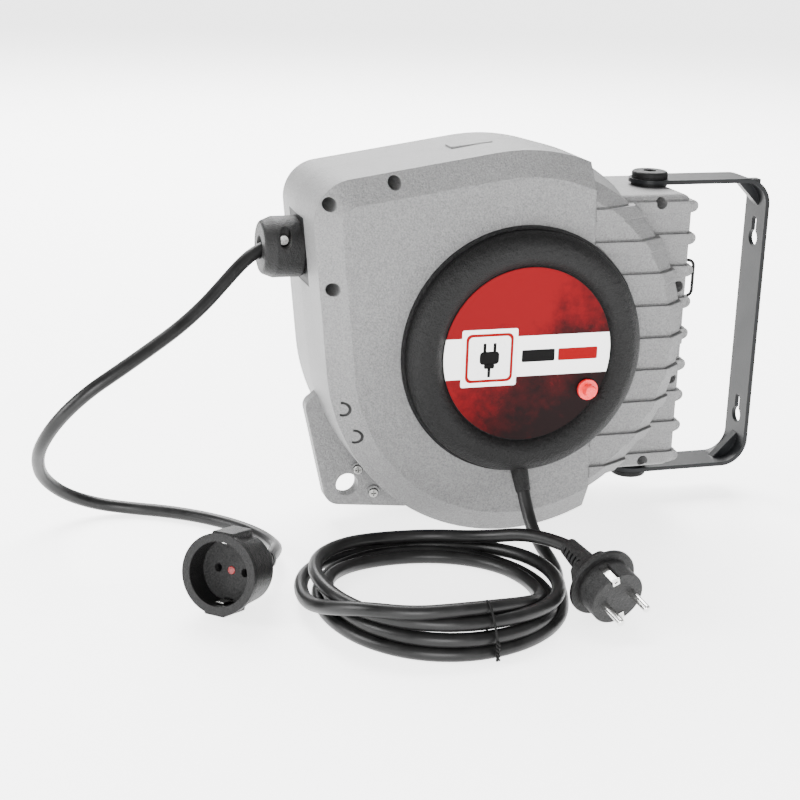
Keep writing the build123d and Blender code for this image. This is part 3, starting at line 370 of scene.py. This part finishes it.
def powder_coat():
    """Dark grey powder coat on the bracket: a fine orange peel, worn lighter in places."""
    paint = Paint("powder_coat").set(Specular_IOR_Level=0.15)
    peel = paint.noise(900, 2, 0.5)
    wear = paint.noise(35, 5, 0.7)
    worn = paint.ramp(wear, (0.35, (0.004, 0.0045, 0.005)), (0.7, (0.010, 0.0105, 0.0115)))
    paint.wire(worn, "Base Color")
    paint.wire(paint.sum("MULTIPLY_ADD", wear, 0.25, 0.24), "Roughness")
    paint.wire(paint.bump(peel, 0.25, 0.0002, paint.rounded(0.0006)), "Normal")
    return paint.material


def rubber():
    """Black cord rubber, slightly glossy, with a dusty bloom."""
    paint = Paint("cord_rubber").set(Specular_IOR_Level=0.22)
    fine = paint.noise(1500, 3, 0.6)
    bloom = paint.noise(60, 4, 0.6)
    paint.wire(paint.ramp(bloom, (0.3, 0.002), (0.75, 0.009)), "Base Color")
    paint.wire(paint.sum("MULTIPLY_ADD", bloom, 0.22, 0.27), "Roughness")
    paint.wire(paint.bump(fine, 0.12, 0.0003), "Normal")
    return paint.material


BAND_HALF = 0.0142
LABEL_HALF = 0.0605


def label_print():
    """Printed label: red with weathered clouds and scrapes, darker below and to the right, with a plain
    white band.
    """
    paint = Paint("label_print").set(Roughness=0.38, Specular_IOR_Level=0.08)
    parts = paint.node("ShaderNodeSeparateXYZ", [("Vector", paint.place)]).outputs
    across = paint.sum("DIVIDE", paint.sum("SUBTRACT", parts[0], HUB.x), LABEL_HALF)
    height = paint.sum("DIVIDE", paint.sum("SUBTRACT", parts[2], HUB.z), LABEL_HALF)
    slope = paint.sum("MULTIPLY_ADD", across, 0.32, paint.sum("MULTIPLY", height, -0.42))
    cloud = paint.noise(34, 8, 0.68)
    scrape = paint.noise(160, 6, 0.75)
    # the red darkens steadily towards the lower right of the label, on top of the cloud and scrape noise
    darkening = paint.sum("ADD", paint.sum("ADD", slope, cloud), paint.sum("MULTIPLY_ADD", scrape, 0.35, -0.17))
    red = paint.ramp(darkening, (0.3, (0.14, 0.0, 0.002)), (0.47, (0.085, 0.0, 0.0015)),
                     (0.65, (0.025, 0.0, 0.0005)), (0.86, (0.004, 0.0, 0.0002)))
    inside = paint.sum("LESS_THAN", paint.sum("ABSOLUTE", paint.sum("SUBTRACT", parts[2], HUB.z - 0.001)),
                       BAND_HALF)
    paint.wire(paint.mix(red, (0.95, 0.95, 0.94), inside), "Base Color")
    paint.wire(paint.bump(scrape, 0.03, 0.0002), "Normal")
    return paint.material


def clear_red(name, base):
    """Translucent red plastic."""
    paint = Paint(name)
    paint.shader.inputs["Subsurface Weight"].default_value = 0.35
    paint.shader.inputs["Subsurface Radius"].default_value = (0.004, 0.0006, 0.0006)
    swirl = paint.noise(300, 3, 0.6)
    lighter = tuple(min(1.0, value * 1.35 + 0.02) for value in base)
    paint.wire(paint.mix(base, lighter, swirl), "Base Color")
    paint.wire(paint.sum("MULTIPLY_ADD", swirl, 0.15, 0.2), "Roughness")
    paint.wire(paint.rounded(0.0004), "Normal")
    return paint.material


def paint_everything():
    """One material for each slot of the record, and the CAD nodes that wear it."""
    by_slot = {
        "casing_grey": moulded("casing_grey", *CASING),
        "hub_black": moulded("hub_black", 0.001, 0.009, 0.4, 0.0011, 0.7, 0.001, 0.14),
        "label_red": label_print(),
        "button_red": clear_red("button_red", (0.62, 0.004, 0.008)),
        "inner_black": moulded("inner_black", 0.002, 0.005, 0.55, 0.0008, 0.3, 0.0008, 0.15),
        "drum_grey": moulded("drum_grey", 0.02, 0.04, 0.5, 0.0010, 0.3),
        "rubber": moulded("moulded_rubber", 0.001, 0.008, 0.45, 0.0008, 0.7, 0.0008, 0.2),
        "bracket_paint": powder_coat(),
        "zinc": metal("zinc", (0.36, 0.36, 0.35), 0.32, 500),
        "spring_steel": metal("spring_steel", (0.3, 0.32, 0.38), 0.35, 900),
        "copper_alloy": metal("copper_alloy", (0.65, 0.42, 0.2), 0.35, 700),
        "pin_steel": metal("pin_steel", (0.78, 0.78, 0.76), 0.2, 800),
        "plug_face_grey": moulded("plug_face_grey", 0.003, 0.025, 0.55, 0.0010, 0.7, 0.0008, 0.2),
        "centre_red": clear_red("centre_red", (0.14, 0.001, 0.002)),
    }
    cord_rubber = rubber()
    for entry in frame["record"]["subparts"]:
        node = nodes[entry["node"]]
        node.data.materials.clear()
        node.data.materials.append(by_slot[entry["material_slot"]])
    nodes["button_collar"].data.materials[0] = by_slot["button_red"]
    # painted shade: the copper sleeves deep in the coupling's bores wear the black plastic, so the bores
    # look dark
    nodes["coupling_sleeves"].data.materials[0] = by_slot["inner_black"]
    for name in ("pivot_bolts", "pivot_washers", "safety_eye"):
        nodes[name].data.materials[0] = by_slot["inner_black"]
    # the front shell's plastic carries painted shade in its two sunk arcs
    nodes["front_shell"].data.materials[0] = casing_with_arc_shade()
    nodes["wound_cable"].data.materials[0] = cord_rubber
    nodes["lead_inner"].data.materials[0] = cord_rubber
    return by_slot, cord_rubber


# ------------------------------------------------------------------ label marks

def plate(name, outlines, depth, thickness, material, body="casing"):
    """Thin flat shapes on the label, each outline a list of (x, z) millimetres from the hub."""
    mesh = bpy.data.meshes.new(name)
    corners = []
    faces = []
    for outline in outlines:
        first = len(corners)
        count = len(outline)
        corners += [hub(x, depth, z) for x, z in outline]
        corners += [hub(x, depth - thickness, z) for x, z in outline]
        faces.append([first + i for i in range(count)])
        faces.append([first + count + i for i in reversed(range(count))])
        faces += [[first + i, first + count + i, first + count + (i + 1) % count, first + (i + 1) % count]
                  for i in range(count)]
    mesh.from_pydata([tuple(corner) for corner in corners], [], faces)
    mesh.materials.append(material)
    piece = bpy.data.objects.new(name, mesh)
    bpy.context.scene.collection.objects.link(piece)
    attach(piece, body)
    return piece


def rounded_box(x, z, width, height, radius):
    """Outline of a rectangle with round corners."""
    points = []
    for corner in range(4):
        cx = x + (width / 2 - radius) * (1 if corner in (0, 3) else -1)
        cz = z + (height / 2 - radius) * (1 if corner in (0, 1) else -1)
        for step in range(7):
            angle = radians(90 * corner + 15 * step)
            points.append((cx + radius * cos(angle), cz + radius * sin(angle)))
    return points


def ink(name, colour):
    """Printing ink with a trace of screen texture."""
    paint = Paint(name).set(Roughness=0.4, Specular_IOR_Level=0.06)
    grain = paint.noise(700, 2, 0.5)
    darker = tuple(0.85 * value for value in colour)
    paint.wire(paint.mix(darker, colour, grain), "Base Color")
    return paint.material


def add_label_marks():
    """A generic plug sign and two plain bars, where the label has its badge and name."""
    white = ink("ink_white", (0.95, 0.95, 0.94))
    dark = ink("ink_black", (0.002, 0.002, 0.002))
    red = ink("ink_red", (0.2, 0.0002, 0.002))
    plate("sign_field", [rounded_box(-28, -1, 40, 40, 1.5)], 0, 0.08, white)
    plate("sign_frame", [rounded_box(-28, -1, 34, 34, 4)], -0.08, 0.06, red)
    plate("sign_inner", [rounded_box(-28, -1, 30, 30, 3)], -0.14, 0.06, white)
    plate("plug_sign", [
        rounded_box(-28, -1, 14, 9, 2.5),
        rounded_box(-31.6, 6.2, 2.2, 6.4, 0.6),
        rounded_box(-24.4, 6.2, 2.2, 6.4, 0.6),
        rounded_box(-28, -6.8, 7.5, 3.4, 1.2),
        rounded_box(-28, -11.2, 2.2, 6.6, 0.6),
    ], -0.2, 0.06, dark)
    plate("bar_dark", [rounded_box(7.5, -1, 24, 8.5, 1)], 0, 0.08, dark)
    plate("bar_red", [rounded_box(36.5, -1, 29, 8.5, 1)], 0, 0.08, red)


# ------------------------------------------------------------------------ stage

FLOOR_HALF = 40.0
FLOOR_GLOW = 2.8
SKY = 0.8


def add_stage():
    """Plain pale floor lit like a light table, and soft light from the left, behind and in front."""
    mesh = bpy.data.meshes.new("floor")
    corners = [(FLOOR_HALF * x, FLOOR_HALF * y, FLOOR) for x, y in ((-1, -1), (1, -1), (1, 1), (-1, 1))]
    mesh.from_pydata(corners, [], [(0, 1, 2, 3)])
    paint = Paint("floor_pale").set(Roughness=0.9)
    paint.wire(paint.ramp(paint.noise(3, 2, 0.5), (0.3, 0.88), (0.7, 0.9)), "Base Color")
    paint.set(Emission_Color=(1, 1, 1, 1), Emission_Strength=FLOOR_GLOW)
    mesh.materials.append(paint.material)
    floor = bpy.data.objects.new("floor", mesh)
    bpy.context.scene.collection.objects.link(floor)

    world = bpy.data.worlds.new("studio")
    world.use_nodes = True
    world.node_tree.nodes["Background"].inputs["Color"].default_value = (1, 1, 1, 1)
    world.node_tree.nodes["Background"].inputs["Strength"].default_value = SKY
    bpy.context.scene.world = world

    soft_light("front_light", -20, 12, 2.2, 1.0, 72)
    soft_light("top_light", 172, 46, 2.6, 2.0, 250)
    soft_light("left_light", -95, 18, 2.3, 1.0, 66)


def soft_light(name, azimuth, elevation, distance, size, power):
    """Square area light that looks at the reel."""
    towards = direction(azimuth, elevation)
    data = bpy.data.lights.new(name, "AREA")
    data.shape = "SQUARE"
    data.size = size
    data.energy = power
    light = bpy.data.objects.new(name, data)
    light.rotation_euler = towards.to_track_quat("Z", "Y").to_euler()
    light.location = HUB + towards * distance
    bpy.context.scene.collection.objects.link(light)


# ------------------------------------------------------------------------- make

add_camera()
lead_line, feed_line = add_cords()
tie_pieces = add_tie()
print("cord lengths", round(line_length(lead_line), 3), round(line_length(feed_line), 3))

slot_materials, cord_rubber = paint_everything()
for line in (lead_line, feed_line):
    line.data.materials.append(cord_rubber)
for piece in tie_pieces:
    piece.data.materials.append(slot_materials["inner_black"])
add_label_marks()
add_stage()
